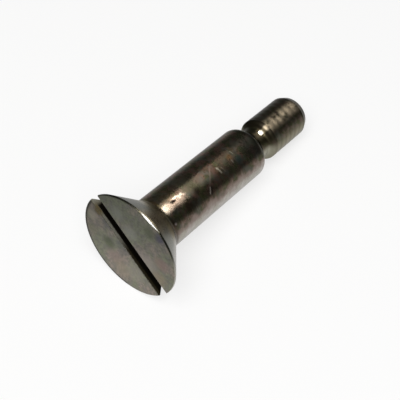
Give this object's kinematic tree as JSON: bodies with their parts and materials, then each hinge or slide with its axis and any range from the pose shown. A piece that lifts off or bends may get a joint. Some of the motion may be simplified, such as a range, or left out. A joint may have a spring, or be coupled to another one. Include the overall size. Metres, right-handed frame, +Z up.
{
  "type": "screw",
  "caption": "Turned shoulder screw with a flat slotted countersunk head, plain shoulder, relief neck and short fine thread.",
  "frame": {"origin": "middle of the screw's footprint, on the surface it lies on", "axes": "+X along the screw from its head to its tip, which dips 7.2 degrees; +Z up"},
  "size_m": [0.0312, 0.0126, 0.0126],
  "materials": {
    "steel": "dark patinated worn steel, brown and olive on top and barer grey beneath, satin on the head's face, smoother with light scratches and a patch rubbed bright on the shoulder"
  },
  "bodies": {
    "root": {"screw": "steel"}
  },
  "joints": []
}
